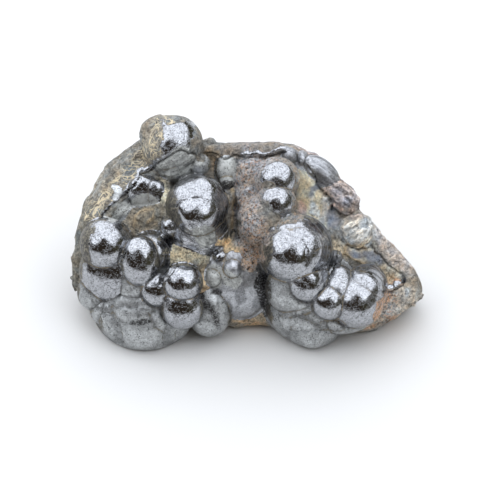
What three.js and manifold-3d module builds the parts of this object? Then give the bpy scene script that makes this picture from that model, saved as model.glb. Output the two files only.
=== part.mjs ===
// Botryoidal hematite: a hand specimen of iron-stained matrix rock, with kidney-shaped domes
// of hematite grown out of its upper face and into each other. It lies on a flat sawn base.
// Millimetres, +Z up, origin at the middle of the base.
//
// The domes are laid out in the frame of the face that they grow on: x to the right, y up the
// slope of the face, z straight out of it. FACE_TILT turns that frame into the frame of the part.

import * as THREE from 'three';
import { mergeVertices } from 'three/addons/utils/BufferGeometryUtils.js';
import Module from 'manifold-3d';

const wasm = await Module();
wasm.setup();

// ---------------------------------------------------------------- driving dimensions

const FACE_TILT = 40;                // degrees between the domed face and the base
const FACE_HEIGHT = 22.0;            // height of the face frame's origin over the base
const FACE_ORIGIN_X = 0.0;           // where that origin lies over the base, to the right
const FACE_ORIGIN_Y = -5.21;         // and to the back

const ROCK_CORE = [0, -1, -13];      // a point well inside the rock, in the face frame
const ROCK_DETAIL = 9;               // subdivisions of the rock's skin
const ROCK_SPREAD = [1, 0.62, 0.5];  // squeezes the skin's rays so that the far ends get more of them
const MOUND_CENTRE = [-4, -2, -30];  // the rock's face is a low mound, part of this ellipsoid
const MOUND_RADII = [70, 46, 29];
const RIM_DEPTH = -8;                // below this depth the sides of the rock draw in
const SIDE_TAPER = 0.22;             // millimetres drawn in per millimetre of depth
const HACKLE_DEPTH = 0.7;            // unevenness of the broken faces behind the rock
const HACKLE_WAVES = [0.55, 0.3, 0.6, -0.45];   // radians per millimetre, for x and z, then y and z

const SLAB_WEAR = 0.8;               // how far a slab's edges are rounded off
const BALL_DETAIL = [[2.2, 1], [6, 2], [9, 3], [Infinity, 4]];   // subdivisions of balls below each radius
const SHORTEST_EDGE = 0.35;          // shorter edges, left where solids join, are closed up
const LEAST_FACING = 0.5;            // cosine of the most that closing an edge may turn a face
const TOUCHING = 1e-4;               // points this near to each other, or to the base, are on it

const RAY_REACH = 90;                // length of a ray that looks for the rock's surface
const RAY_HALVINGS = 30;             // and how often the search along it halves the rest

// The rock's outline, seen straight onto the face.
const OUTLINE = [
  [-39.6, -10.4], [-39.2, -12.8], [-36.8, -14.6], [-34.0, -18.0], [-31.0, -19.6], [-21.0, -20.4],
  [-10.0, -20.8], [-3.2, -21.6], [5.6, -21.2], [12.0, -21.6], [21.7, -22.8], [27.6, -22.2],
  [32.0, -20.2], [36.2, -17.3], [39.0, -17.2], [40.8, -11.2], [37.0, -7.6], [33.8, -3.9],
  [28.3, 1.6], [27.4, 3.4], [25.4, 4.0], [25.0, 6.7], [23.2, 9.8], [20.1, 12.7], [17.7, 16.4],
  [14.4, 17.9], [10.0, 20.2], [0.8, 20.2], [-6.3, 19.9], [-12.0, 21.0], [-18.0, 23.6],
  [-23.9, 20.6], [-27.8, 18.2], [-30.5, 16.0], [-32.4, 13.7], [-34.2, 9.4], [-36.4, 6.5],
  [-37.0, 2.8], [-38.0, 0.5], [-38.4, -3.8], [-38.9, -6.5],
];

// Dents in the mound: x and y on the face, radius and depth.
const DENTS = [
  [1.0, -22.0, 7.0, 4.5],
  [-2.8, 4.0, 3.0, 1.6],
  [19.0, 9.0, 8.0, 2.4],
  [-5.0, 13.5, 4.0, 1.8],
  [-19.0, 4.0, 4.5, 1.2],
  [22.0, -3.0, 4.0, 1.4],
  [32.0, -9.5, 3.0, 1.6],
];

// Broken faces behind and beside the rock: outward direction in the part's frame, and distance
// from the face frame's origin.
const BREAKS = [
  [[0.10, 0.98, 0.30], 25.0],
  [[-0.25, 0.95, 0.12], 27.8],
  [[0.42, 0.88, 0.05], 25.6],
  [[0.22, 0.88, -0.50], 26.6],
  [[-0.35, 0.85, -0.45], 29.4],
  [[-0.08, 0.72, -0.70], 28.6],
  [[0.72, 0.64, 0.22], 27.6],
  [[0.62, 0.60, -0.50], 33.0],
  [[0.90, 0.36, -0.20], 39.0],
  [[-0.70, 0.68, 0.30], 34.0],
  [[-0.62, 0.66, -0.40], 34.6],
  [[-0.92, 0.34, -0.14], 38.0],
  [[0.92, -0.30, -0.55], 42.0],
  [[-0.90, -0.25, -0.60], 40.0],
];

// ---------------------------------------------------------------- domes and lumps
// Rows are x, y, z of the centre in the face frame and the radius. A row may go on with
// stretch factors along x, y and z, a lean in degrees that brings the upper end forward, and
// a turn in degrees anticlockwise.

const LEFT_CLUSTER = [
  [-30.9, -2.5, 0.4, 5.8],
  [-23.3, -6.4, 2.4, 4.5, [1, 1.33, 0.9], 22, 0],
  [-20.6, -4.4, -0.4, 4.9],
  [-28.9, -8.4, -2.8, 8.1, [1, 1, 0.66], 28, 0],
  [-22.8, -10.0, -1.8, 7.2, [1, 0.97, 0.66], 30, 0],
  [-19.7, -12.3, 0.4, 4.2, [0.95, 1.02, 0.85], 15, 0],
  [-14.0, -10.9, 3.0, 4.5, [1, 0.95, 0.9], 12, 0],
  [-14.2, -16.6, 0.6, 4.9, [0.95, 1.05, 0.7], 30, 0],
  [-22.6, -15.2, -11.0, 12.0],
  [-22.4, -19.6, -5.8, 7.4, [1.38, 0.93, 0.6], 36, 0],
  [-30.2, -17.2, -6.0, 4.3, [1.05, 1, 0.6], 34, 0],
  [-33.6, -13.4, -4.8, 3.9, [1, 1.15, 0.7], 32, 0],
  [-19.0, -17.8, -3.4, 4.4, [0.9, 1, 0.6], 36, 0],
  [-8.2, -17.6, -4.4, 6.2, [0.8, 1, 0.6], 36, 0],
  [-22.6, 8.6, -1.4, 3.7, [1, 1.15, 0.6], 25, 0],
  [-20.3, 8.7, -0.5, 2.6, [1, 1.2, 0.6], 22, 0],
  [-28.0, 6.2, -3.8, 4.0, [1, 1.2, 0.8], 10, 10],
];

const KNOB = [
  [-16.2, 19.3, -1.8, 6.7],
  [-15.4, 16.0, -1.8, 4.7],
  [-10.4, 15.0, -0.6, 2.5],
  [-18.8, 21.2, -2.6, 4.9],
];

const CENTRE_CLUSTER = [
  [-10.7, 6.0, 2.2, 6.8],
  [-10.7, 4.5, 4.0, 5.5],
  [-10.5, 1.0, 0.4, 6.5, [1, 1, 0.85], 20, 0],
  [-16.8, 1.4, 2.0, 2.4],
  [-4.5, 13.8, -3.4, 2.4, [1, 1.5, 1], 0, 0],
  [-4.4, 11.6, -2.8, 1.8],
  [-5.6, -5.4, -0.4, 2.0],
  [-3.0, -7.8, 0.0, 2.6],
  [-7.1, -9.8, -0.6, 2.2],
  [-2.3, -9.4, -6.6, 10.4, [1, 1, 0.75], 26, 0],
];

const RIGHT_CLUSTER = [
  [6.7, 11.6, -0.6, 5.1],
  [6.5, 6.5, 1.4, 4.5],
  [3.4, 2.3, 0.4, 5.8],
  [10.9, -3.9, 1.6, 8.2],
  [9.8, -4.3, 3.4, 6.7],
  [13.4, -10.4, 2.5, 5.0],
  [11.0, -12.2, 0.4, 7.0, [0.98, 1, 0.6], 36, 0],
  [18.2, -14.9, 1.8, 4.4],
  [20.1, -12.6, 1.2, 4.6, [0.92, 1.25, 0.9], -14, 0],
  [24.1, -14.9, -0.2, 6.2],
  [25.5, -12.8, -0.3, 5.3, [1, 1.2, 1], 0, -35],
  [14.2, -13.0, -9.0, 11.6],
  [14.4, -16.8, -4.8, 9.0, [1.1, 1, 0.55], 34, 0],
  [14.6, -17.6, -8.0, 8.0],
  [21.4, -17.6, -2.0, 5.4, [1.2, 1, 0.6], 32, 0],
];

const SMALL_DOMES = [
  [16.6, 13.4, -4.4, 4.2, [1.15, 0.66, 0.75], 0, -40],
  [12.4, 16.0, -5.0, 1.7, [0.7, 1.2, 1], 0, 0],
  [9.6, 17.0, -4.2, 1.8],
  [19.6, -5.4, -0.6, 1.6],
];

const ROCK_LUMPS = [
  [24.3, 0.3, -4.0, 3.7, [1.0, 0.95, 0.9], 0, -15],
  [26.4, 2.6, -5.4, 1.4],
  [20.8, 8.2, -5.2, 4.2, [1.2, 0.72, 0.9], 0, -45],
  [-8.2, 19.4, -5.0, 1.7],
  [1.6, 12.4, -4.4, 4.6],
  [1.0, 7.8, -3.6, 4.0],
  [0.8, -2.4, -1.6, 3.4],
];

// Clay packed into the valleys between the domes: low lumps, rows as for the domes.
const CLAY = [
  [-20.6, 2.6, -3.2, 5.0, [1.5, 1.1, 0.8], 0, 20],
  [-17.6, 6.4, -1.4, 2.2, [0.8, 2.6, 1.2], 0, 5],
  [-13.4, -5.2, -0.4, 4.4, [1.25, 0.85, 1.0], 0, -6],
  [-3.4, -2.6, -2.4, 3.6, [1.5, 1.0, 0.8], 0, 0],
  [-9.6, -10.8, -1.8, 2.2, [0.8, 1.8, 1.1], 0, 0],
  [14.6, 8.4, -5.9, 4.2, [1.0, 2.0, 0.9], 0, 12],
  [21.8, -3.6, -5.4, 3.4, [1.9, 1.3, 0.9], 0, -10],
];

// Slabs of rock that overlap the domes: an outline on the face, with how far the slab's front
// stands out at its middle, its thickness, and its slope about x and y in degrees.
const SLABS = [
  {
    // the crust over the small domes at the upper left
    outline: [
      [-31.0, 2.4], [-23.6, 9.6], [-17.4, 13.8], [-13.0, 16.0], [-15.5, 21.5], [-21.0, 21.6],
      [-27.6, 17.4], [-31.6, 13.4], [-34.0, 8.6], [-35.8, 6.0], [-36.2, 1.0],
    ],
    front: -1.6, thickness: 7, slopeX: -22, slopeY: -14,
  },
  {
    // the ledge along the top edge
    outline: [[-9.4, 17.6], [-4.0, 16.2], [2.6, 16.6], [9.4, 18.0], [9.6, 19.8], [0.8, 20.0], [-8.8, 19.8]],
    front: -2.6, thickness: 6, slopeX: -14, slopeY: 4,
  },
  {
    // the thin plate along the right edge
    outline: [
      [28.2, 1.6], [33.8, -3.8], [39.0, -9.6], [38.8, -11.8], [34.4, -10.9], [30.6, -6.8],
      [27.2, -2.6], [26.8, 0.4],
    ],
    front: -4.8, thickness: 5, slopeX: -6, slopeY: 12,
  },
  {
    // the rough facet at the lower right
    outline: [
      [27.0, -15.0], [29.4, -12.4], [32.7, -12.3], [35.2, -10.2], [39.0, -10.8], [37.6, -16.8],
      [32.2, -19.9], [27.0, -21.9], [21.5, -22.8], [22.0, -18.0],
    ],
    front: -3.4, thickness: 5, slopeX: 14, slopeY: 14,
  },
];

// Hollows cut into the face: rows as for the domes.
const HOLLOWS = [
  [-2.7, 3.6, -0.4, 1.0, [0.8, 7.0, 4.0], 0, -3],
  [1.2, -21.4, -3.0, 3.4, [1.0, 0.7, 1.2], 0, 0],
];

// ---------------------------------------------------------------- solids

const untilt = new THREE.Matrix4().makeRotationX(-THREE.MathUtils.degToRad(FACE_TILT));

// A three.js geometry as a manifold solid.
function toSolid(geometry) {
  const bare = new THREE.BufferGeometry();
  bare.setAttribute('position', geometry.getAttribute('position'));
  bare.setIndex(geometry.getIndex());
  const merged = mergeVertices(bare, TOUCHING);
  return new wasm.Manifold(new wasm.Mesh({
    numProp: 3,
    vertProperties: new Float32Array(merged.getAttribute('position').array),
    triVerts: new Uint32Array(merged.getIndex().array),
  }));
}

// A manifold solid as a three.js geometry.
function toGeometry(solid) {
  const mesh = solid.getMesh();
  const geometry = new THREE.BufferGeometry();
  geometry.setAttribute('position', new THREE.BufferAttribute(mesh.vertProperties, 3));
  geometry.setIndex(new THREE.BufferAttribute(mesh.triVerts, 1));
  return geometry;
}

// Closes up the edges shorter than a limit by drawing their two ends together, where that
// neither folds a face over nor pinches the surface. A point on the base stays on the base.
function closeShortEdges(geometry, limit) {
  const position = geometry.getAttribute('position');
  const pointAt = (i) => new THREE.Vector3().fromBufferAttribute(position, i);
  const points = Array.from({ length: position.count }, (_, i) => pointAt(i));
  const faces = [];
  const facesAt = points.map(() => new Set());
  const index = geometry.getIndex().array;
  for (let i = 0; i < index.length; i += 3) {
    faces.push([index[i], index[i + 1], index[i + 2]]);
    for (let k = 0; k < 3; k += 1) facesAt[index[i + k]].add(faces.length - 1);
  }
  const baseNormal = new THREE.Vector3(0, 0, 1).applyMatrix4(untilt);
  const onBase = points.map((point) => Math.abs(point.dot(baseNormal) + FACE_HEIGHT) < TOUCHING);
  const neighbours = (i) => new Set([...facesAt[i]].flatMap((f) => faces[f]).filter((j) => j !== i));
  const normal = (corners) => (
    new THREE.Triangle(...corners.map((j) => points[j])).getNormal(new THREE.Vector3())
  );

  const canClose = (kept, lost) => {
    const shared = [...neighbours(kept)].filter((j) => neighbours(lost).has(j));
    if (shared.length !== 2) return false;
    return [...facesAt[lost]].filter((f) => !faces[f].includes(kept)).every((f) => (
      normal(faces[f]).dot(normal(faces[f].map((j) => (j === lost ? kept : j)))) > LEAST_FACING
    ));
  };
  const close = (kept, lost) => {
    for (const f of [...facesAt[lost]]) {
      if (faces[f].includes(kept)) {
        faces[f].forEach((j) => facesAt[j].delete(f));
        faces[f] = null;
      } else {
        faces[f] = faces[f].map((j) => (j === lost ? kept : j));
        facesAt[kept].add(f);
      }
    }
    facesAt[lost].clear();
  };

  for (let i = 0; i < faces.length; i += 1) {
    for (let k = 0; faces[i] && k < 3; k += 1) {
      const [a, b] = [faces[i][k], faces[i][(k + 1) % 3]];
      if (points[a].distanceTo(points[b]) > limit) continue;
      if ((onBase[a] || !onBase[b]) && canClose(a, b)) close(a, b);
      else if ((onBase[b] || !onBase[a]) && canClose(b, a)) close(b, a);
    }
  }
  geometry.setIndex(faces.filter(Boolean).flat());
  return geometry;
}

function joinAll(solids) {
  return solids.reduce((whole, next) => whole.add(next));
}

function degreesToEuler(x, y, z) {
  return new THREE.Euler(...[x, y, z].map(THREE.MathUtils.degToRad), 'ZYX');
}

// One dome, lump or hollow from a row of the tables above.
function ball([x, y, z, radius, stretch = [1, 1, 1], lean = 0, turn = 0]) {
  const [, detail] = BALL_DETAIL.find(([limit]) => radius < limit);
  const geometry = new THREE.IcosahedronGeometry(radius, detail);
  geometry.applyMatrix4(new THREE.Matrix4().compose(
    new THREE.Vector3(x, y, z),
    new THREE.Quaternion().setFromEuler(degreesToEuler(lean, 0, turn)),
    new THREE.Vector3(...stretch),
  ));
  return toSolid(geometry);
}

// A slab of rock with worn edges, its front surface sloping about the slab's middle.
function slab({ outline, front, thickness, slopeX, slopeY }) {
  const middle = outline.reduce((sum, [x, y]) => [sum[0] + x, sum[1] + y], [0, 0])
    .map((total) => total / outline.length);
  const shape = new THREE.Shape(outline.map(([x, y]) => new THREE.Vector2(x - middle[0], y - middle[1])));
  const geometry = new THREE.ExtrudeGeometry(shape, {
    depth: thickness - 2 * SLAB_WEAR,
    bevelThickness: SLAB_WEAR,
    bevelSize: SLAB_WEAR,
    bevelOffset: -SLAB_WEAR,
    bevelSegments: 2,
  });
  geometry.translate(0, 0, SLAB_WEAR - thickness);
  geometry.applyMatrix4(new THREE.Matrix4().compose(
    new THREE.Vector3(...middle, front),
    new THREE.Quaternion().setFromEuler(degreesToEuler(slopeX, slopeY, 0)),
    new THREE.Vector3(1, 1, 1),
  ));
  return toSolid(geometry);
}

// ---------------------------------------------------------------- the rock

// Signed distance from a point to the outline, negative inside it.
function outlineDistance(x, y) {
  let nearest = Infinity;
  let inside = false;
  OUTLINE.forEach(([ax, ay], i) => {
    const [bx, by] = OUTLINE[(i + 1) % OUTLINE.length];
    const along = ((x - ax) * (bx - ax) + (y - ay) * (by - ay)) / ((bx - ax) ** 2 + (by - ay) ** 2);
    const t = THREE.MathUtils.clamp(along, 0, 1);
    nearest = Math.min(nearest, Math.hypot(x - ax - t * (bx - ax), y - ay - t * (by - ay)));
    if ((ay > y) !== (by > y) && x < ax + ((y - ay) * (bx - ax)) / (by - ay)) inside = !inside;
  });
  return inside ? -nearest : nearest;
}

const breaks = BREAKS.map(([direction, distance]) => ({
  normal: new THREE.Vector3(...direction).normalize().transformDirection(untilt),
  distance,
}));

// Below zero inside the rock, above zero outside it.
function rockField(p) {
  const fromMound = [p.x, p.y, p.z].map((value, i) => (value - MOUND_CENTRE[i]) / MOUND_RADII[i]);
  const mound = Math.hypot(...fromMound);
  const dents = DENTS.reduce((sum, [x, y, radius, depth]) => (
    sum + depth * Math.exp(-((p.x - x) ** 2 + (p.y - y) ** 2) / radius ** 2)
  ), 0);
  const face = (mound - 1) * MOUND_RADII[2] + dents;
  const drawnIn = SIDE_TAPER * Math.max(0, RIM_DEPTH - p.z);
  const side = outlineDistance(p.x, p.y) + drawnIn;
  const [waveX, waveXZ, waveY, waveYZ] = HACKLE_WAVES;
  const hackle = HACKLE_DEPTH * Math.sin(waveX * p.x + waveXZ * p.z) * Math.sin(waveY * p.y + waveYZ * p.z);
  const behind = Math.max(...breaks.map(({ normal, distance }) => normal.dot(p) - distance)) + hackle;
  return Math.max(face, side, behind);
}

// A round skin about the rock's core, each of its points moved along its own ray to the rock's
// surface.
function rock() {
  const core = new THREE.Vector3(...ROCK_CORE);
  const spread = new THREE.Vector3(...ROCK_SPREAD);
  const geometry = new THREE.IcosahedronGeometry(1, ROCK_DETAIL);
  const position = geometry.getAttribute('position');
  const ray = new THREE.Vector3();
  const point = new THREE.Vector3();
  for (let i = 0; i < position.count; i += 1) {
    ray.fromBufferAttribute(position, i).multiply(spread).normalize();
    let near = 0;
    let far = RAY_REACH;
    for (let step = 0; step < RAY_HALVINGS; step += 1) {
      const middle = (near + far) / 2;
      point.copy(core).addScaledVector(ray, middle);
      if (rockField(point) < 0) near = middle;
      else far = middle;
    }
    point.copy(core).addScaledVector(ray, near);
    position.setXYZ(i, point.x, point.y, point.z);
  }
  return toSolid(geometry);
}

// Everything over the plane of the base, in the face frame.
function overBase() {
  const reach = 120;
  const geometry = new THREE.BoxGeometry(reach, reach, reach);
  geometry.translate(0, 0, reach / 2 - FACE_HEIGHT);
  geometry.applyMatrix4(untilt);
  return toSolid(geometry);
}

// ---------------------------------------------------------------- the specimen

function hematite() {
  const grown = [...LEFT_CLUSTER, ...KNOB, ...CENTRE_CLUSTER, ...RIGHT_CLUSTER, ...SMALL_DOMES];
  const lumps = joinAll([...grown, ...ROCK_LUMPS, ...CLAY].map(ball));
  const solid = joinAll([rock(), lumps, ...SLABS.map(slab)])
    .subtract(joinAll(HOLLOWS.map(ball)))
    .intersect(overBase());
  const material = new THREE.MeshStandardMaterial({ color: 0x6e6e72, roughness: 0.3, metalness: 0.8 });
  const geometry = closeShortEdges(toGeometry(solid), SHORTEST_EDGE);
  const mesh = new THREE.Mesh(geometry, material);
  mesh.name = 'hematite';
  mesh.position.set(FACE_ORIGIN_X, FACE_ORIGIN_Y, FACE_HEIGHT);
  mesh.rotation.x = THREE.MathUtils.degToRad(FACE_TILT);
  return mesh;
}

const specimen = new THREE.Group();
specimen.add(hematite());

export default specimen;
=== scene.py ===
"""Botryoidal hematite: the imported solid, dressed with a fine skin, its finish, a pale floor and soft light.

The domes are laid out in the frame of the face that they grow on, in millimetres: x to the right,
y up the slope of the face, z straight out of it. Everything else is in the part's frame, in metres.
"""

import math
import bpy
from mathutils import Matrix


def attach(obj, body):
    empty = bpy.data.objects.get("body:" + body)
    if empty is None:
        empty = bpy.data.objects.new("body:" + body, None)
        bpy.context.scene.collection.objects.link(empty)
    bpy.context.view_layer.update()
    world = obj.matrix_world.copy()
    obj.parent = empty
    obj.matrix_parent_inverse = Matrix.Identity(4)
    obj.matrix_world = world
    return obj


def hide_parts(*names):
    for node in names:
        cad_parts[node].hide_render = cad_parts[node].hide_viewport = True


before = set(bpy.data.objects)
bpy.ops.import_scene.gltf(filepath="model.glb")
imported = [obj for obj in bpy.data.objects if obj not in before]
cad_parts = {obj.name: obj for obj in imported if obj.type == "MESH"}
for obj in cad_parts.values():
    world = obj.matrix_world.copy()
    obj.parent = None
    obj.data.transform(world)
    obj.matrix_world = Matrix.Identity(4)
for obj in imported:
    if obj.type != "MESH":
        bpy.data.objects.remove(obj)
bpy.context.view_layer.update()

from types import SimpleNamespace

import bpy
import mathutils
import numpy as np

# ------------------------------------------------------------------ driving values

# Lengths are in millimetres, and angles in degrees.
MM = 0.001
FACE_TILT = 40
FACE_ORIGIN = np.array([0.0, -5.21, 22.0])
FAR = 99.0                  # farther than any two points of the specimen lie apart
VOXEL = 0.39                # spacing of the fine skin's points
REACH = 0.34                # how far a point may lie from a dome and still be drawn onto it
SEAM_REACH = 0.45 * VOXEL   # the same for a second dome, so that the crease between the two is sharp
BASE_BAND = 0.12            # points below this height lie on the flat base
BUMP_DEPTH = 0.22           # depth of the finest relief, which the finish draws
TINY = 1e-9                 # least divisor, as nothing can be divided by 0

# The camera looks down at the face from the front, square to it.
VIEW_ELEVATION = 50
FRAME_WIDTH = 105.6         # width of the picture at the face
FRAME_CENTRE = (-1.43, -1.65, 0.0)
LENS = 300
SENSOR = 36

# Domes: x, y, z of the centre and radius, then perhaps stretch, lean and turn, as in the solid.
BRIGHT_DOMES = [
    (-30.9, -2.5, 0.4, 5.8),
    (-23.3, -6.4, 2.4, 4.5, (1, 1.33, 0.9), 22, 0),
    (-20.6, -4.4, -0.4, 4.9),
    (-28.9, -8.4, -2.8, 8.1, (1, 1, 0.66), 28, 0),
    (-19.7, -12.3, 0.4, 4.2, (0.95, 1.02, 0.85), 15, 0),
    (-14.0, -10.9, 3.0, 4.5, (1, 0.95, 0.9), 12, 0),
    (-14.2, -16.6, 0.6, 4.9, (0.95, 1.05, 0.7), 30, 0),
    (-22.6, 8.6, -1.4, 3.7, (1, 1.15, 0.6), 25, 0),
    (-20.3, 8.7, -0.5, 2.6, (1, 1.2, 0.6), 22, 0),
    (-16.2, 19.3, -1.8, 6.7),
    (-10.7, 6.0, 2.2, 6.8),
    (-10.7, 4.5, 4.0, 5.5),
    (-10.5, 1.0, 0.4, 6.5, (1, 1, 0.85), 20, 0),
    (-16.8, 1.4, 2.0, 2.4),
    (-5.6, -5.4, -0.4, 2.0),
    (6.7, 11.6, -0.6, 5.1),
    (6.5, 6.5, 1.4, 4.5),
    (3.4, 2.3, 0.4, 5.8),
    (10.9, -3.9, 1.6, 8.2),
    (9.8, -4.3, 3.4, 6.7),
    (13.4, -10.4, 2.5, 5.0),
    (18.2, -14.9, 1.8, 4.4),
    (20.1, -12.6, 1.2, 4.6, (0.92, 1.25, 0.9), -14, 0),
    (24.1, -14.9, -0.2, 6.2),
    (25.5, -12.8, -0.3, 5.3, (1, 1.2, 1), 0, -35),
]
SATIN_DOMES = [
    (-3.0, -7.8, 0.0, 2.6),
    (16.6, 13.4, -4.4, 4.2, (1.15, 0.66, 0.75), 0, -40),
    (-2.3, -9.4, -6.6, 10.4, (1, 1, 0.75), 26, 0),
    (12.4, 16.0, -5.0, 1.7, (0.7, 1.2, 1), 0, 0),
    (9.6, 17.0, -4.2, 1.8),
    (19.6, -5.4, -0.6, 1.6),
]
MATTE_DOMES = [
    (-22.8, -10.0, -1.8, 7.2, (1, 0.97, 0.66), 30, 0),
    (-22.6, -15.2, -11.0, 12.0),
    (-22.4, -19.6, -5.8, 7.4, (1.38, 0.93, 0.6), 36, 0),
    (-30.2, -17.2, -6.0, 4.3, (1.05, 1, 0.6), 34, 0),
    (-33.6, -13.4, -4.8, 3.9, (1, 1.15, 0.7), 32, 0),
    (-19.0, -17.8, -3.4, 4.4, (0.9, 1, 0.6), 36, 0),
    (-8.2, -17.6, -4.4, 6.2, (0.8, 1, 0.6), 36, 0),
    (11.0, -12.2, 0.4, 7.0, (0.98, 1, 0.6), 36, 0),
    (14.2, -13.0, -9.0, 11.6),
    (14.4, -16.8, -4.8, 9.0, (1.1, 1, 0.55), 34, 0),
    (14.6, -17.6, -8.0, 8.0),
    (21.4, -17.6, -2.0, 5.4, (1.2, 1, 0.6), 32, 0),
    (-15.4, 16.0, -1.8, 4.7),
    (-10.4, 15.0, -0.6, 2.5),
    (-28.0, 6.2, -3.8, 4.0, (1, 1.2, 0.8), 10, 10),
    (-4.5, 13.8, -3.4, 2.4, (1, 1.5, 1), 0, 0),
    (-4.4, 11.6, -2.8, 1.8),
    (-7.1, -9.8, -0.6, 2.2),
]
ROCK_LUMPS = [
    (-18.8, 21.2, -2.6, 4.9),
    (24.3, 0.3, -4.0, 3.7, (1.0, 0.95, 0.9), 0, -15),
    (26.4, 2.6, -5.4, 1.4),
    (20.8, 8.2, -5.2, 4.2, (1.2, 0.72, 0.9), 0, -45),
    (-8.2, 19.4, -5.0, 1.7),
    (1.6, 12.4, -4.4, 4.6),
    (1.0, 7.8, -3.6, 4.0),
    (0.8, -2.4, -1.6, 3.4),
]

# Low rounded cells on the matte domes, that only the fine skin has, and on which the finish paints shade:
# lighter middles, darker edges. Columns: x and y of the middle, the reach, and the height.
CELLS = [
    (-31.7, -17.6, 2.6, 0.60),
    (-30.0, -20.6, 2.9, 0.62),
    (-26.6, -18.0, 2.7, 0.66),
    (-22.9, -18.0, 2.3, 0.56),
    (-19.6, -19.9, 2.9, 0.66),
    (-23.2, -23.0, 4.8, 0.65),
    (-26.6, -14.4, 2.8, 0.50),
    (-22.4, -14.2, 2.8, 0.50),
    (-9.0, -21.0, 3.0, 0.50),
    (7.6, -14.2, 3.0, 0.56),
    (12.0, -15.6, 2.8, 0.54),
    (7.4, -19.4, 3.0, 0.60),
    (12.2, -20.6, 3.2, 0.64),
    (16.8, -18.4, 2.8, 0.56),
    (20.6, -20.6, 3.2, 0.60),
    (25.2, -18.6, 2.8, 0.50),
    (14.8, -24.4, 3.2, 0.60),
]

# Shell-like steps around the sides of a few domes: x and y of the dome, its radius, and the way
# that the side faces, down from the right.
SHELLS = [(10.9, -3.9, 8.2, -10), (-10.7, 4.6, 6.9, 15), (25.4, -12.9, 5.8, -40), (-21.6, -5.4, 5.6, 10)]
SHELL_STEP = 1.0
MOST_SHELLS = 20            # the mask that counts the steps holds this many, as a mask ends at 1
CREASE_REACH = 2            # the mask of the way to the next crease holds this much


# ------------------------------------------------------------------ frames and noise

def about_x(degrees):
    a = math.radians(degrees)
    return np.array([[1, 0, 0], [0, math.cos(a), -math.sin(a)], [0, math.sin(a), math.cos(a)]])


def about_z(degrees):
    a = math.radians(degrees)
    return np.array([[math.cos(a), -math.sin(a), 0], [math.sin(a), math.cos(a), 0], [0, 0, 1]])


TURN = about_x(FACE_TILT)
UP = TURN[2]                # the part's +Z, in the face frame


def to_face(points):
    return (points / MM - FACE_ORIGIN) @ TURN


def from_face(points):
    return (points @ TURN.T + FACE_ORIGIN) * MM


SCRAMBLE = np.array([374761393, 668265263, 2147483647])     # large odd numbers, one for each axis
SCRAMBLE_SEED = 1274126177
LOW_BITS = 0xFFFFFF


def lattice(cell, seed):
    """A repeatable random number from 0 to 1 for each cell of an integer grid."""
    n = cell @ SCRAMBLE + seed * SCRAMBLE_SEED
    n = (n ^ (n >> 13)) * SCRAMBLE_SEED
    n = n ^ (n >> 16)
    return (n & LOW_BITS) / LOW_BITS


def noise(points, size, seed):
    """Smooth noise from -1 to 1 with lumps of about this size."""
    p = points / size
    low = np.floor(p).astype(np.int64)
    t = p - low
    t = t * t * t * (t * (t * 6 - 15) + 10)
    total = np.zeros(len(points))
    for corner in np.ndindex(2, 2, 2):
        weight = np.prod(np.where(np.array(corner) == 1, t, 1 - t), axis=1)
        total += weight * lattice(low + np.array(corner), seed)
    return total * 2 - 1


def layered(points, size, seed, layers=3, keep=0.5):
    """Several layers of noise, each about half as broad as the last and lower."""
    total = 0.0
    for layer in range(layers):
        total = total + keep ** layer * noise(points, size / 2.1 ** layer, seed + layer * 31)
    return total


def strata(points, turn, spacing, seed):
    """Noise drawn out along a direction over the face, in layers as far apart as the spacing."""
    a = math.radians(turn)
    along = points[:, 0] * math.cos(a) + points[:, 1] * math.sin(a)
    across = points[:, 1] * math.cos(a) - points[:, 0] * math.sin(a)
    return layered(np.stack([along / 7, across, points[:, 2] / 2], axis=1), spacing, seed, 2, 0.6)


def nearest_cell(points, size, seed):
    """Where the nearest of a scatter of random points lies, with one of them in each cell of a grid."""
    p = points / size
    low = np.floor(p).astype(np.int64)
    best = np.full(len(points), FAR)
    home = np.zeros_like(p)
    for step in np.ndindex(3, 3, 3):
        cell = low + np.array(step) - 1
        middle = cell + np.stack([lattice(cell, seed + k) for k in (1, 2, 3)], axis=1)
        away = np.linalg.norm(p - middle, axis=1)
        nearer = away < best
        home[nearer] = middle[nearer]
        best = np.where(nearer, away, best)
    return home * size


def step_up(low, high, value):
    """0 from low outwards, 1 from high outwards, and smooth between the two."""
    t = np.clip((value - low) / (high - low), 0, 1)
    return t * t * (3 - 2 * t)


def linear(values):
    """Colours as a screen has them, from 0 to 255, turned into amounts of light from 0 to 1."""
    v = np.asarray(values, dtype=float) / 255
    return np.where(v <= 0.04045, v / 12.92, ((v + 0.055) / 1.055) ** 2.4)


def srgb(r, g, b):
    return (*(float(v) for v in linear((r, g, b))), 1.0)


# ------------------------------------------------------------------ domes

class Dome:
    """An ellipsoid in the face frame."""

    def __init__(self, row, kind):
        x, y, z, radius = row[:4]
        stretch, lean, turn = row[4:] if len(row) > 4 else ((1, 1, 1), 0, 0)
        self.axes = about_z(turn) @ about_x(lean)
        self.centre = np.array([x, y, z])
        self.radii = radius * np.array(stretch, dtype=float)
        self.kind = kind

    def as_ball(self, points):
        """The points in the frame in which the ellipsoid is a ball of radius 1."""
        return ((points - self.centre) @ self.axes) / self.radii

    def distance(self, points):
        """A close guess at the distance from the surface, below 0 inside."""
        ball = self.as_ball(points)
        out = np.linalg.norm(ball, axis=1)
        slope = np.linalg.norm(ball / self.radii, axis=1)
        return out * (out - 1) / np.maximum(slope, TINY)

    def project(self, points):
        """The points moved onto the surface, along straight lines through the centre."""
        out = np.linalg.norm(self.as_ball(points), axis=1, keepdims=True)
        return self.centre + (points - self.centre) / np.maximum(out, TINY)

    def normal(self, points):
        slope = self.as_ball(points) / self.radii
        return (slope / np.maximum(np.linalg.norm(slope, axis=1, keepdims=True), TINY)) @ self.axes.T


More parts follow.
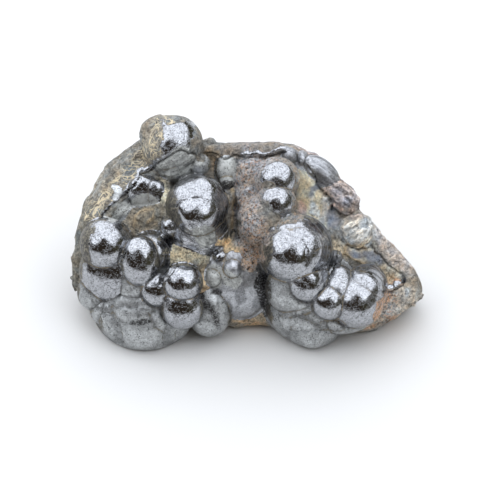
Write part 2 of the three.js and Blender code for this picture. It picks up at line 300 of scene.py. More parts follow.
def all_domes():
    tables = {"bright": BRIGHT_DOMES, "satin": SATIN_DOMES, "matte": MATTE_DOMES, "rock": ROCK_LUMPS}
    return [Dome(row, kind) for kind, rows in tables.items() for row in rows]


def two_nearest(points, domes):
    """For each point its nearest dome and the next, with the signed distances to both."""
    first = np.full(len(points), -1)
    second = np.full(len(points), -1)
    first_away = np.full(len(points), FAR)
    second_away = np.full(len(points), FAR)
    for k, dome in enumerate(domes):
        away = dome.distance(points)
        nearest = away < first_away
        next_up = ~nearest & (away < second_away)
        second = np.where(nearest, first, np.where(next_up, k, second))
        second_away = np.where(nearest, first_away, np.where(next_up, away, second_away))
        first = np.where(nearest, k, first)
        first_away = np.where(nearest, away, first_away)
    return first, second, first_away, second_away


def creases(points, domes, first, second, second_away):
    """How far each point lies from the crease with the next dome, and how sharply the two meet."""
    normals = [np.zeros_like(points), np.zeros_like(points)]
    for k, dome in enumerate(domes):
        for normal, which in zip(normals, (first, second)):
            normal[which == k] = dome.normal(points[which == k])
    cosine = np.sum(normals[0] * normals[1], axis=1)
    sine = np.where(cosine > 0, np.sqrt(np.maximum(1 - cosine ** 2, 0)), 1)
    return np.maximum(second_away, 0) / np.maximum(sine, 0.05), step_up(0.3, 0.75, sine)


# ------------------------------------------------------------------ the fine skin

class Skin:
    """A mesh's points in the face frame, in millimetres."""

    def __init__(self, mesh):
        self.mesh = mesh
        flat = np.empty(len(mesh.vertices) * 3, dtype=np.float32)
        mesh.vertices.foreach_get("co", flat)
        self.points = to_face(flat.reshape(-1, 3).astype(float))
        flat = np.empty(len(mesh.edges) * 2, dtype=np.int32)
        mesh.edges.foreach_get("vertices", flat)
        self.edges = flat.reshape(-1, 2)
        self.on_base = self.height() < BASE_BAND

    def height(self):
        return self.points @ UP + FACE_ORIGIN[2]

    def spread(self, values, weight, rounds):
        """Draws each value towards the mean of its neighbours', by a weight from 0 to 1."""
        count = len(self.points)
        a, b = self.edges[:, 0], self.edges[:, 1]
        degree = np.bincount(self.edges.ravel(), minlength=count)
        for _ in range(rounds):
            mean = np.stack([np.bincount(a, values[b, k], count) + np.bincount(b, values[a, k], count)
                             for k in range(values.shape[1])], axis=1) / degree[:, None]
            values = values + weight[:, None] * (mean - values)
        return values

    def soften(self, mask, rounds):
        """A mask with its edge spread over the neighbouring points."""
        return self.spread(mask[:, None].astype(float), np.ones(len(mask)), rounds)[:, 0]

    def store(self):
        self.mesh.vertices.foreach_set("co", from_face(self.points).astype(np.float32).ravel())
        self.mesh.update()

    def normals(self):
        self.store()
        flat = np.empty(len(self.points) * 3, dtype=np.float32)
        self.mesh.vertex_normals.foreach_get("vector", flat)
        return flat.reshape(-1, 3).astype(float) @ TURN

    def lift(self, height):
        """Moves the points out along the surface's normals, but none off or through the base."""
        self.points = self.points + self.normals() * (height * ~self.on_base)[:, None]
        self.points -= np.minimum(self.height(), 0)[:, None] * UP

    def write(self, name, values):
        """Keeps a mask from 0 to 1 at the points, where the finish reads it by its name."""
        made = self.mesh.attributes.new(name, "FLOAT", "POINT")
        made.data.foreach_set("value", np.clip(values, 0, 1).astype(np.float32))

    def write_colour(self, name, values):
        made = self.mesh.attributes.new(name, "FLOAT_COLOR", "POINT")
        opaque = np.pad(values, ((0, 0), (0, 1)), constant_values=1)
        made.data.foreach_set("color", opaque.astype(np.float32).ravel())


def voxel_copy(node):
    """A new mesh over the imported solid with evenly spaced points."""
    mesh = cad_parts[node].data.copy()
    piece = bpy.data.objects.new("hematite_skin", mesh)
    bpy.context.scene.collection.objects.link(piece)
    remesh = piece.modifiers.new("voxels", "REMESH")
    remesh.mode = "VOXEL"
    remesh.voxel_size = VOXEL * MM * 1
    remesh.adaptivity = 0
    fine = bpy.data.meshes.new_from_object(piece.evaluated_get(bpy.context.evaluated_depsgraph_get()))
    piece.modifiers.clear()
    piece.data = fine
    fine.name = "hematite_skin"
    fine.materials.clear()
    bpy.data.meshes.remove(mesh)
    return piece


def blobs(points, rows, warp):
    """The strongest of several soft spots on the face: x, y, half width, half height and turn."""
    best = np.zeros(len(points))
    for x, y, wide, high, turn in rows:
        a = math.radians(turn)
        dx = points[:, 0] + warp[:, 0] - x
        dy = points[:, 1] + warp[:, 1] - y
        u = (dx * math.cos(a) + dy * math.sin(a)) / wide
        v = (-dx * math.sin(a) + dy * math.cos(a)) / high
        best = np.maximum(best, 1 - step_up(0.7, 1.3, np.hypot(u, v)))
    return best


def away_from(points, lines):
    """Distance over the face to the nearest of several lines."""
    away = np.full(len(points), FAR)
    for line in lines:
        for (ax, ay), (bx, by) in zip(line[:-1], line[1:]):
            along = np.array([bx - ax, by - ay])
            t = np.clip(((points[:, :2] - (ax, ay)) @ along) / (along @ along), 0, 1)
            away = np.minimum(away, np.linalg.norm(points[:, :2] - (ax, ay) - t[:, None] * along, axis=1))
    return away


def near_lines(points, lines, reach):
    """1 on any of several lines over the face, falling to 0 at this reach from it."""
    return 1 - step_up(0, reach, away_from(points, lines))


# Ground colours of the rock, and the soft spots that have them, as blobs() takes them. Later rows
# lie over earlier ones.
ROCK_TONE = (138, 133, 123)
GROUND = [
    ((142, 138, 128), [(-29.0, 11.0, 7.0, 9.0, -35), (-20.0, 21.0, 5.0, 4.0, 0)]),
    ((126, 123, 112), [(-37.4, -5.0, 1.8, 9.0, 0), (-36.0, 3.0, 1.6, 5.0, -12)]),
    ((138, 130, 120), [(1.0, 18.0, 10.0, 2.2, 0)]),
    ((236, 226, 196), [(-17.9, 6.0, 1.6, 5.4, 6)]),
    ((204, 194, 166), [(-13.4, -4.8, 5.4, 2.2, 0)]),
    ((142, 134, 118), [(-21.6, 3.2, 5.4, 3.0, 20)]),
    ((222, 198, 160), [(-9.0, -10.6, 1.9, 4.4, 0), (-3.4, -2.8, 4.4, 2.2, -10), (0.4, -3.4, 2.6, 3.4, 0)]),
    ((204, 178, 144), [(-9.2, -14.4, 1.4, 2.4, 0), (1.0, -19.0, 5.0, 1.6, 0)]),
    ((174, 158, 136), [(-6.8, 16.0, 1.4, 3.4, 25), (-5.6, 8.0, 1.0, 5.0, 0)]),
    ((164, 156, 148), [(0.4, 8.6, 3.0, 9.6, 0), (1.6, -0.4, 3.6, 5.0, -10), (2.4, 14.6, 3.8, 3.0, 0)]),
    ((158, 138, 118), [(1.5, -5.0, 2.8, 4.0, 0)]),
    ((150, 146, 142), [(-2.8, 6.0, 1.0, 8.4, 0), (-4.0, 15.4, 3.6, 0.5, -6)]),
    ((216, 206, 178), [(14.2, 9.2, 2.6, 8.2, 12), (16.4, 3.4, 2.4, 3.0, 0)]),
    ((212, 202, 180), [(21.6, -3.8, 6.6, 2.4, 0), (31.4, -9.0, 3.0, 2.8, -30)]),
    ((180, 168, 162), [(21.4, 8.8, 6.0, 3.4, -45), (15.6, 16.6, 6.0, 1.8, -35)]),
    ((194, 182, 170), [(31.4, -2.6, 8.0, 2.4, -45)]),
    ((212, 210, 203), [(24.2, 0.4, 4.0, 3.6, 0), (26.6, 2.8, 1.6, 1.6, 0), (17.4, 5.0, 1.0, 3.6, -20)]),
    ((206, 197, 183), [(32.0, -16.6, 7.6, 5.0, 20)]),
    ((206, 168, 136), [(29.2, -15.6, 1.4, 4.8, -18), (26.4, -19.8, 3.0, 0.9, 12), (33.4, -11.2, 1.6, 0.8, 0),
                       (30.8, -13.8, 1.0, 1.2, 0), (32.2, -19.0, 1.4, 0.8, 20)]),
    ((208, 212, 210), [(15.2, 5.6, 0.8, 3.4, 8)]),
    ((200, 176, 162), [(12.6, 5.8, 1.0, 1.6, 0), (15.0, 16.0, 2.4, 1.0, -40), (20.0, 5.6, 1.8, 0.9, 0)]),
    ((150, 150, 152), [(19.0, 2.9, 1.6, 2.2, 0), (23.9, -4.6, 1.9, 0.9, 0), (27.6, -5.0, 2.4, 1.2, -15)]),
    ((132, 134, 136), [(12.0, 15.2, 1.0, 2.0, 0), (15.6, 10.6, 0.8, 2.6, -35), (11.4, 1.6, 1.0, 2.2, 0)]),
]
RIDGE_TONE = (190, 168, 134)

# Other soft spots on the face, as blobs() takes them. First, crust over the metal.
CRUST = [
    (-22.8, 21.2, 4.8, 6.4, 20), (-16.8, 25.9, 5.2, 1.5, 0), (-10.2, 22.4, 1.2, 3.4, 25),
    (-10.8, 18.4, 1.7, 3.0, 10), (-31.0, 8.6, 1.6, 2.4, 0), (1.8, 2.0, 3.4, 5.0, 0), (3.4, 10.0, 2.6, 1.6, 0),
    (2.9, 5.2, 2.6, 1.9, 0), (5.4, 3.2, 1.9, 1.9, 0), (1.5, -5.8, 2.4, 3.2, 0),
    (-3.0, -2.8, 3.4, 1.9, -10), (31.4, -17.6, 3.4, 4.2, -20),
]

# Olive film on the sides of domes.
OLIVE_FLANK = [
    (-35.6, -2.4, 2.4, 5.2, 0), (-16.6, 4.6, 1.6, 5.4, 0), (-4.4, 2.6, 1.4, 5.6, 0),
    (3.6, -4.6, 2.0, 4.8, -8), (18.2, -1.8, 1.8, 5.4, 20), (-18.6, -5.4, 1.0, 4.4, 0),
]

# Here the sides of the domes are crusted, and their tops bare.
CRUSTED_FLANK = [(6.6, 9.0, 7.4, 9.4, 0)]

# Pale dust on the metal, which also stands in as a painted reflection of the pale floor on the domes' lower
# sides.
DUSTY = [
    (-22.4, 6.8, 3.6, 1.9, 0), (-28.6, 4.8, 3.0, 1.8, 20), (-14.4, 15.4, 5.6, 3.0, 25),
    (-9.4, -0.6, 3.4, 2.0, -15), (-4.2, 13.6, 2.0, 3.6, 0), (-7.2, -9.8, 1.9, 3.2, 0),
    (-3.0, -10.2, 2.4, 1.9, 0),
]

# Painted shade in grooves and on the valley dome's side, and painted dark reflections, on the metal.
DARK_SPOTS = [
    (-23.4, -19.8, 2.5, 0.65, -4), (3.4, -12.6, 1.3, 4.6, 8), (-4.4, 10.2, 2.2, 1.4, 0),
    (-27.6, 1.4, 1.4, 0.9, 30), (-6.6, -13.6, 1.4, 0.8, 20),
]

# Orange crumbs, dark flecks and painted glints, on rock and metal alike.
ORANGE_CRUST = [
    (0.2, 8.6, 2.8, 9.6, 0), (1.2, -0.4, 3.2, 5.0, -10), (1.6, 14.6, 3.0, 3.0, 0),
    (1.5, -5.6, 2.4, 3.2, 0), (30.8, -16.0, 2.6, 4.8, -18),
]

# Pale hairs, lying crosswise over the rock.
HAIR_CRUST = [
    (-27.8, 11.0, 8.6, 2.0, 44), (-21.2, 17.8, 5.2, 2.6, 45), (-18.6, 22.6, 2.4, 4.0, -25),
    (-33.8, 3.8, 2.6, 2.0, 40),
]

# Rock with little relief and mottling.
SMOOTH_ROCK = [
    (14.2, 9.2, 3.4, 8.4, 12), (19.0, 2.9, 2.2, 2.6, 0), (25.6, -4.8, 4.6, 1.8, -10),
    (24.2, 0.4, 4.0, 3.6, 0),
]

# Rock with lower relief, along the specimen's outline.
CALM_EDGE = [(-35.0, 9.0, 7.0, 14.0, -35), (-24.0, 25.0, 7.0, 3.0, 30), (2.0, 19.4, 12.0, 2.0, 0)]

# Fine grain of straight fibres, that rise to the right or fall.
RISING_FIBRES = [(-15.2, 15.4, 6.4, 3.4, 25), (24.2, 0.4, 4.4, 3.8, 0), (-27.6, 4.6, 3.6, 1.8, 30)]
FALLING_FIBRES = [(21.2, 8.6, 6.4, 4.2, -45), (-9.6, -0.4, 4.4, 2.8, -15), (13.6, 17.0, 8.0, 2.0, -30)]

# Places that lie in layers or fibres: a soft spot, the way that the layers run, their spacing and
# depth.
LAYERS = [
    ((21.2, 8.4, 5.6, 3.6, -45), -34, 0.8, 0.40),
    ((24.2, 0.2, 4.0, 3.6, 0), 42, 1.0, 0.36),
    ((-15.2, 15.4, 5.4, 3.0, 25), 30, 0.7, 0.36),
    ((-2.4, -12.0, 5.6, 7.0, 0), 88, 1.2, 0.03),
    ((32.0, -16.6, 7.0, 4.8, 20), 24, 0.7, 0.22),
    ((-29.0, 11.0, 7.0, 7.0, -35), 80, 0.9, 0.16),
    ((1.6, 3.0, 3.0, 8.0, -8), 70, 0.7, 0.20),
    ((-13.6, -3.2, 5.0, 2.0, 0), 20, 0.7, 0.20),
]

# Lines over the face, through x and y of their corners. First, glossy lips.
LEDGES = [
    [(-31.6, 4.2), (-29.4, 6.4), (-26.3, 9.3), (-24.6, 11.6), (-23.6, 13.8), (-21.7, 14.1),
     (-19.5, 15.5)],
    [(-19.5, 15.5), (-16.8, 17.3), (-14.2, 18.4)],
    [(-1.4, 17.3), (3.6, 17.5), (9.2, 18.9)],
    [(30.0, -12.4), (32.6, -12.3), (34.4, -11.2), (35.3, -9.9)],
]

# Dark cracks, sunk into the skin; those just under the glossy lips are also painted shadow under them.
CRACKS = [
    [(-32.0, 3.6), (-29.6, 5.8), (-26.3, 8.7), (-24.3, 11.1), (-23.4, 13.3), (-21.7, 13.5),
     (-19.5, 14.9)],
    [(-19.5, 14.9), (-16.8, 16.8), (-14.2, 17.7), (-11.6, 17.6)],
    [(-8.4, 17.2), (-5.2, 16.6), (-1.4, 16.5), (3.6, 16.7), (8.8, 18.0)],
    [(27.4, -2.8), (30.6, -6.0), (33.2, -8.4), (35.2, -9.9), (34.6, -11.9), (32.4, -13.0), (29.8, -13.0)],
    [(20.6, -1.2), (22.4, -3.0), (25.0, -3.7), (27.4, -2.8)],
    [(13.6, 14.6), (15.4, 10.8), (18.4, 7.8), (19.2, 4.6), (22.6, 4.2), (25.6, 4.8)],
]

# Broad bands of painted shade on the metal, along grooves.
DARK_BANDS = [
    [(-10.2, -12.6), (-8.8, -15.4), (-7.2, -18.0), (-6.2, -20.4)],
    [(4.2, -9.6), (4.6, -13.0), (4.8, -16.6), (4.0, -19.0)],
]

# Thin ridges of clay.
RIDGES = [
    [(-24.8, 1.6), (-24.4, 3.8), (-22.6, 5.0), (-20.4, 5.0), (-20.2, 3.4), (-21.8, 2.0)],
    [(-3.4, 9.6), (-3.0, 5.0), (-3.2, 0.6)],
    [(19.0, -5.8), (21.6, -4.9), (25.4, -6.6), (27.6, -8.2)],
    [(21.6, -4.9), (22.6, -2.6), (26.2, -3.4)],
]

# Creases in the metal that no two domes of the tables make: only the finish shows them, as grime, painted
# shade and a dark line.
SEAMS = [
    [(-33.9, -15.2), (-32.6, -16.4), (-31.0, -16.5), (-25.4, -16.5), (-21.0, -17.3), (-18.5, -17.3),
     (-17.3, -15.9)],
    [(-23.7, -17.0), (-23.8, -18.7)],
    [(-21.3, -17.7), (-21.0, -19.9), (-19.4, -21.5), (-18.2, -23.1)],
    [(-32.3, -18.4), (-30.7, -17.7), (-29.5, -17.7), (-28.5, -18.8), (-26.3, -19.5)],
    [(-28.3, -20.8), (-27.9, -22.1)],
    [(5.6, -18.5), (9.1, -18.5), (11.9, -18.3), (13.0, -18.0), (14.3, -16.6), (15.0, -15.2)],
    [(13.0, -18.8), (15.0, -19.9), (16.0, -20.8), (16.1, -21.5), (18.2, -21.3), (20.7, -21.0), (23.2, -21.5)],
    [(15.0, -19.9), (18.2, -19.9), (20.1, -18.9), (20.2, -17.2)],
    [(20.1, -19.4), (21.6, -20.5)],
    [(10.6, -20.2), (9.7, -21.1), (9.9, -22.4)],
    [(12.4, -6.1), (15.7, -3.9), (16.6, -3.2)],
    [(5.6, 0.1), (8.5, 0.8), (11.8, 0.8), (15.7, -0.1)],
]


def draw_onto_domes(skin, domes):
    """Moves the points near a dome onto it, and those near a second one onto both, and smooths the rock."""
    first, second, first_away, second_away = two_nearest(skin.points, domes)
    drawn = (np.abs(first_away) < REACH) & ~skin.on_base
    loose = (~drawn & ~skin.on_base).astype(float)
    skin.points = skin.spread(skin.points, 0.5 * loose, 40)
    for _ in range(3):
        for k, dome in enumerate(domes):
            mine = drawn & (first == k)
            skin.points[mine] = dome.project(skin.points[mine])
            both = drawn & (second == k) & (np.abs(second_away) < SEAM_REACH)
            skin.points[both] = dome.project(skin.points[both])
    return drawn


def cells(points, normal):
    """Height of the low rounded cells. The middle of each lies on the side that faces out."""
    height = np.zeros(len(points))
    hidden = normal[:, 2] < 0.1
    for x, y, reach, rise in CELLS:
        middle = points[np.argmin(np.hypot(points[:, 0] - x, points[:, 1] - y) + FAR * hidden)]
        height = np.maximum(height, rise * (1 - (np.linalg.norm(points - middle, axis=1) / reach) ** 2))
    return height


def shells(points):
    """How far out each point lies in the shell-like steps, counted in steps, and where they show."""
    count = np.zeros(len(points))
    share = np.zeros(len(points))
    for x, y, radius, side in SHELLS:
        dx, dy = points[:, 0] - x, points[:, 1] - y
        out = np.hypot(dx, dy)
        a = math.radians(side)
        towards = (dx * math.cos(a) - dy * math.sin(a)) / np.maximum(out, 0.1)
        here = step_up(0.3, 0.75, towards) * step_up(0.6, 0.78, out / radius) * (out < radius + 0.9)
        count = np.where(here > share, (out + 0.35 * noise(points, 2.2, 77)) / SHELL_STEP, count)
        share = np.maximum(share, here)
    return count, share


def ground_tone(points, warp, front):
    """Colour of the rock at each point: soft spots on the front, varied from warm to cool."""
    tone = np.tile(np.array(ROCK_TONE, dtype=float), (len(points), 1))
    for colour, spots in GROUND:
        share = (blobs(points, spots, warp) * front)[:, None]
        tone = tone * (1 - share) + np.array(colour) * share
    warmth = layered(points, 2.2, 55, 3, 0.7)[:, None]
    level = layered(points, 1.3, 58, 3, 0.7)[:, None]
    return tone * (1 + 0.07 * level) * (1 + 0.055 * warmth * np.array([1.0, 0.1, -1.0]))


def survey(skin):
    """Draws the skin onto the domes, and tells where metal, rock, feet and creases lie on it."""
    domes = all_domes()
    kinds = np.array([dome.kind for dome in domes])
    drawn = draw_onto_domes(skin, domes)
    first, _, _, _ = two_nearest(skin.points, domes)
    site = SimpleNamespace()
    site.bare = drawn & (kinds[first] != "rock")
    site.rock = ~site.bare

    # The domes sit in the rock: their feet run out into it.
    foot = np.clip(4 * skin.soften(site.rock, 4) * skin.soften(site.bare, 4), 0, 1)
    skin.points = skin.spread(skin.points, 0.5 * foot * ~skin.on_base, 10)

    first, second, _, second_away = two_nearest(skin.points, domes)
    site.crease_away, site.crease_bend = creases(skin.points, domes, first, second, second_away)
    site.kind = kinds[first]
    site.matte = site.bare & (site.kind == "matte")
    site.rock_share = skin.soften(site.rock, 2)
    site.near_foot = np.where(site.bare, step_up(0.02, 0.7, site.rock_share), 0)

    # A wavy copy of the points, on which straight lines and round spots get uneven edges.
    site.warp = np.stack([layered(skin.points, 2.4, 11 + k) for k in range(2)], axis=1) * 0.9
    site.wavy = skin.points + 0.5 * np.pad(site.warp, ((0, 0), (0, 1)))
    site.normal = skin.normals()
    site.facing = step_up(0.1, 0.5, site.normal[:, 2])
    site.front = step_up(-0.5, 0.0, site.normal[:, 2])
    return site


def add_marks(skin, site):
    """Finds the marks that shape the skin and are coloured too: smooth rock, layers, lines and cells."""
    points = skin.points
    site.smooth = blobs(points, SMOOTH_ROCK, site.warp)
    site.layer_tone = np.zeros(len(points))
    site.layer_relief = np.zeros(len(points))
    for spot, turn, spacing, depth in LAYERS:
        layer = site.front * blobs(points, [spot], site.warp) * strata(site.wavy, turn, spacing, 90)
        site.layer_tone += layer
        site.layer_relief += layer * depth
    site.crack = near_lines(site.wavy, CRACKS, 0.36) * site.facing
    site.ledge = near_lines(site.wavy, LEDGES, 0.6) * site.facing
    site.ridge = near_lines(site.wavy, RIDGES, 0.6) * site.facing
    site.cell_height = cells(points, site.normal)


def metal_relief(skin, site):
    """Low cells on the matte domes, a soft unevenness, and the layers of domes that are not bright."""
    uneven = 0.07 * noise(skin.points, 3.2, 40) + 0.045 * noise(skin.points, 1.3, 44)
    near_dome = np.exp(-site.crease_away / 0.8) * site.crease_bend * site.bare
    calm = site.bare * (1 - np.maximum(site.near_foot, near_dome))
    cell = site.matte * site.cell_height * skin.soften(site.matte, 3)
    layered_metal = site.bare & (site.kind != "bright")
    return calm * uneven + cell + layered_metal * (1 - site.near_foot) * site.layer_relief


def rock_relief(points, site):
    """Lumps and hackly facets, with layers, ridges and lips on them."""
    home = nearest_cell(points + 0.5 * site.warp[:, :1], 3.4, 5)
    tilt = np.stack([lattice(np.round(home * 50).astype(np.int64), 60 + k) for k in range(3)], axis=1) - 0.5
    facet = np.sum((points - home) * tilt, axis=1)
    lumps = layered(points, 3.0, 21, 4, 0.6)
    calm_edge = 1 - 0.6 * blobs(points, CALM_EDGE, site.warp)
    hackly = (1 - site.smooth) * calm_edge * (0.3 * facet + 0.26 * lumps - 0.06)
    relief = site.rock_share * (hackly + site.smooth * 0.2 * lumps + site.layer_relief)
    return site.rock * (relief + 0.3 * site.ridge + 0.3 * site.ledge)


def write_masks(skin, site):
    """Writes what the finish reads at each point."""
    points, warp, bare = skin.points, site.warp, site.bare
    normal = skin.normals()

    # Metal, and the crust, film and dust that lie over it.
    crusted_flank = blobs(points, CRUSTED_FLANK, warp) * step_up(0.74, 0.56, normal[:, 2])
    crusted = np.maximum(blobs(points, CRUST, warp), crusted_flank)
    orange = np.maximum(blobs(points, ORANGE_CRUST, warp), 0.7 * crusted_flank)
    metal = bare * (1 - 0.8 * crusted) * (1 - 0.5 * orange)
    olive = blobs(points, OLIVE_FLANK, warp) * step_up(0.95, 0.65, normal[:, 2])
    steep = step_up(0.62, 0.88, np.abs(normal[:, 0])) * step_up(0.6, 0.2, normal[:, 1])
    # dust, and a painted reflection of the pale floor on the domes' lower sides
    dust = bare * blobs(points, DUSTY, warp)
    shell_count, shell_share = shells(points)
    skin.write("metal", np.maximum(metal, site.ledge * site.rock))
    skin.write("orange", orange)
    skin.write("film", np.maximum(olive, 0.75 * steep) * (1 - 0.8 * shell_share) * bare)
    skin.write("dust", dust)
    skin.write("matte", np.maximum(skin.soften(site.matte, 1), dust))
    skin.write("satin", bare * (site.kind == "satin"))
    skin.write("shell", shell_share * bare)
    skin.write("shell_count", shell_count / MOST_SHELLS)
    # the cells' heights, which the finish turns into painted shade: lighter middles, darker edges
    skin.write("cell", np.where(site.matte & (site.cell_height > 0), 0.4 + site.cell_height, 0.4))

    # Creases, feet, and places of painted shade and painted dark reflection.
    seam_away = np.where(normal[:, 2] > 0.1, away_from(site.wavy, SEAMS), FAR)
    bend = np.where(seam_away < site.crease_away, 0.75, site.crease_bend)
    dark_spots = 0.9 * blobs(points, DARK_SPOTS, 0.6 * warp)
    skin.write("crease_away", np.minimum(site.crease_away, seam_away) / CREASE_REACH)
    skin.write("crease_bend", bend * bare)
    skin.write("foot", site.near_foot)
    # painted shade in grooves and crevices, and painted dark reflections
    skin.write("gloom", np.maximum(dark_spots, near_lines(site.wavy, DARK_BANDS, 1.7)))
    skin.write("crack", site.crack)

    # Rock, and the hairs, fibres and layers on it.
    skin.write("smooth", site.smooth)
    skin.write("hair", blobs(points, HAIR_CRUST, warp) * site.front)
    skin.write("rising", blobs(points, RISING_FIBRES, warp) * site.facing)
    skin.write("falling", blobs(points, FALLING_FIBRES, warp) * site.facing)
    skin.write("streak", 0.5 + 0.4 * site.layer_tone * (site.kind != "bright"))
    tone = ground_tone(points, warp, site.front)
    tone += site.ridge[:, None] * (np.array(RIDGE_TONE) - tone)
    skin.write_colour("tone", linear(tone))


def dress(mesh):
    """Draws the skin onto the exact domes, gives rock and metal their relief, and writes the masks."""
    skin = Skin(mesh)
    site = survey(skin)
    add_marks(skin, site)
    skin.lift(rock_relief(skin.points, site) + metal_relief(skin, site) - 0.45 * site.crack)
    write_masks(skin, site)


def shade(mesh):
    mesh.polygons.foreach_set("use_smooth", np.ones(len(mesh.polygons), dtype=bool))
    mesh.set_sharp_from_angle(angle=math.radians(38))


# ------------------------------------------------------------------ finish

class Graph:
    """Small helpers around a node tree."""

    def __init__(self, tree):
        self.tree = tree

    def node(self, kind, **inputs):
        made = self.tree.nodes.new(kind)
        for name, value in inputs.items():
            self.feed(made.inputs[name.replace("_", " ")], value)
        return made

    def feed(self, socket, value):
        """Links a socket to another, or sets its value."""
        if isinstance(value, bpy.types.NodeSocket):
            self.tree.links.new(value, socket)
        else:
            socket.default_value = value

    def mask(self, name, output="Fac"):
        made = self.tree.nodes.new("ShaderNodeAttribute")
        made.attribute_name = name
        return made.outputs[output]

    def math(self, operation, a, b=0.0):
        made = self.tree.nodes.new("ShaderNodeMath")
        made.operation = operation
        self.feed(made.inputs[0], a)
        self.feed(made.inputs[1], b)
        return made.outputs[0]

    def joined(self, operation, first, *others):
        total = first
        for other in others:
            total = self.math(operation, total, other)
        return total

    def sum(self, *values):
        return self.joined("ADD", *values)

    def times(self, *values):
        return self.joined("MULTIPLY", *values)

    def most(self, *values):
        return self.joined("MAXIMUM", *values)

    def minus(self, a, b):
        return self.math("SUBTRACT", a, b)

    def ramp(self, value, low, high, start=0.0, end=1.0):
        """A smooth step from start to end, as the value goes from low to high."""
        made = self.tree.nodes.new("ShaderNodeMapRange")
        made.interpolation_type = "SMOOTHSTEP"
        self.feed(made.inputs["Value"], value)
        self.feed(made.inputs["From Min"], low)
        self.feed(made.inputs["From Max"], high)
        self.feed(made.inputs["To Min"], start)
        self.feed(made.inputs["To Max"], end)
        return made.outputs["Result"]

    def noise(self, place, scale, detail=4.0, rough=0.55, warp=0.0):
        made = self.node("ShaderNodeTexNoise", Vector=place, Scale=scale, Detail=detail, Roughness=rough)
        self.feed(made.inputs["Distortion"], warp)
        return made.outputs["Fac"]

    def spots(self, place, scale):
        return self.node("ShaderNodeTexVoronoi", Vector=place, Scale=scale).outputs["Distance"]

    def veins(self, place, scale, width, warp):
        """Thin winding lines, where a noise passes its middle."""
        away = self.math("ABSOLUTE", self.minus(self.noise(place, scale, 2.0, 0.5, warp), 0.5))
        return self.ramp(away, width * 0.4, width, 1.0, 0.0)

    def drawn_out(self, place, turn, ratio):
        """Places squeezed along a direction over the face, so that textures run along it."""
        made = self.node("ShaderNodeMapping", Vector=place)
        made.vector_type = "TEXTURE"
        self.feed(made.inputs["Rotation"], mathutils.Matrix(TURN @ about_z(turn)).to_euler())
        self.feed(made.inputs["Scale"], (ratio, 1.0, 1.0))
        return made.outputs["Vector"]

    def blend(self, share, a, b):
        return self.mixed("RGBA", share, a, b)

    def mix(self, share, a, b):
        return self.mixed("FLOAT", share, a, b)

    def tint(self, colour, grey):
        """A colour multiplied by a grey level."""
        return self.mixed("RGBA", 1.0, colour, grey, "MULTIPLY")

    def mixed(self, kind, share, a, b, how="MIX"):
        made = self.tree.nodes.new("ShaderNodeMix")
        made.data_type = kind
        made.blend_type = how
        sockets = [s for s in made.inputs if s.enabled]
        for socket, value in zip(sockets, (share, a, b)):
            self.feed(socket, value)
        return next(s for s in made.outputs if s.enabled)


HEMATITE = srgb(172, 174, 178)
MATTE_HEMATITE = srgb(194, 197, 198)
# near-black: soot, pits and splits, and painted shade and shadow
SOOT = srgb(38, 34, 32)
DARK_OLIVE = srgb(42, 38, 31)
OLIVE = srgb(136, 129, 108)
LINE_TAN = srgb(150, 136, 110)
# grime, also used as painted shade beside creases and at the feet of domes and steps
GRIME = srgb(74, 70, 64)
ORANGE = srgb(192, 142, 104)
HAIR = srgb(238, 222, 188)
# pale dust, and the painted reflection of the pale floor
DUST = srgb(204, 206, 202)
# painted glints: pale specks that stand in for sparkle
GLINT = srgb(198, 204, 212)
COOL = (0.88, 0.96, 1.08, 1.0)      # a tint, that light is multiplied by

BRIGHT_ROUGH = 0.05, 0.11
SATIN_ROUGH = 0.40
MATTE_ROUGH = 0.42
DIRTY_ROUGH = 0.55

# Three sets of pale hairs: the way that they run over the face, their scale and width.
HAIR_LINES = [(64, 420.0, 0.020), (12, 460.0, 0.020), (-36, 440.0, 0.018)]


def textures(g):
    """The patterns that rock and metal share. Scales are in waves to the metre."""
    tex = SimpleNamespace()
    tex.place = g.node("ShaderNodeTexCoord").outputs["Object"]
    tex.broad = g.noise(tex.place, 280.0, 4.0)
    tex.grain = g.noise(tex.place, 1100.0, 5.0, 0.65)
    tex.crumb = g.noise(tex.place, 1700.0, 6.0, 0.75)
    tex.fine = g.noise(tex.place, 2600.0, 3.0, 0.6)
    tex.finest = g.noise(tex.place, 4200.0, 2.0, 0.6)
    tex.wander = g.minus(tex.grain, 0.5)
    tex.flicker = g.minus(tex.fine, 0.5)
    tex.streak = g.ramp(g.sum(g.mask("streak"), g.times(tex.flicker, 0.25)), 0.3, 0.7, 0.7, 1.26)

    # A fine grain of straight fibres.
    rising = g.minus(g.noise(g.drawn_out(tex.place, 36, 8.0), 1500.0, 3.0, 0.6), 0.5)
    falling = g.minus(g.noise(g.drawn_out(tex.place, -34, 8.0), 1500.0, 3.0, 0.6), 0.5)
    tex.fibres = g.sum(g.times(g.mask("rising"), rising), g.times(g.mask("falling"), falling))
    tex.fibre_level = g.sum(1.0, g.times(tex.fibres, 2.6))
    return tex


def rock_lines(g, tex):
    """The rock's dark splits and pale hairs."""
    split = g.times(g.veins(tex.place, 300.0, 0.016, 2.2), g.ramp(g.noise(tex.place, 170.0, 2.0), 0.44, 0.56))
    hairs = g.most(*(g.veins(g.drawn_out(tex.place, turn, 5.0), scale, width, 0.4)
                     for turn, scale, width in HAIR_LINES))
    return split, g.times(hairs, g.mask("hair"), g.ramp(tex.broad, 0.32, 0.46))


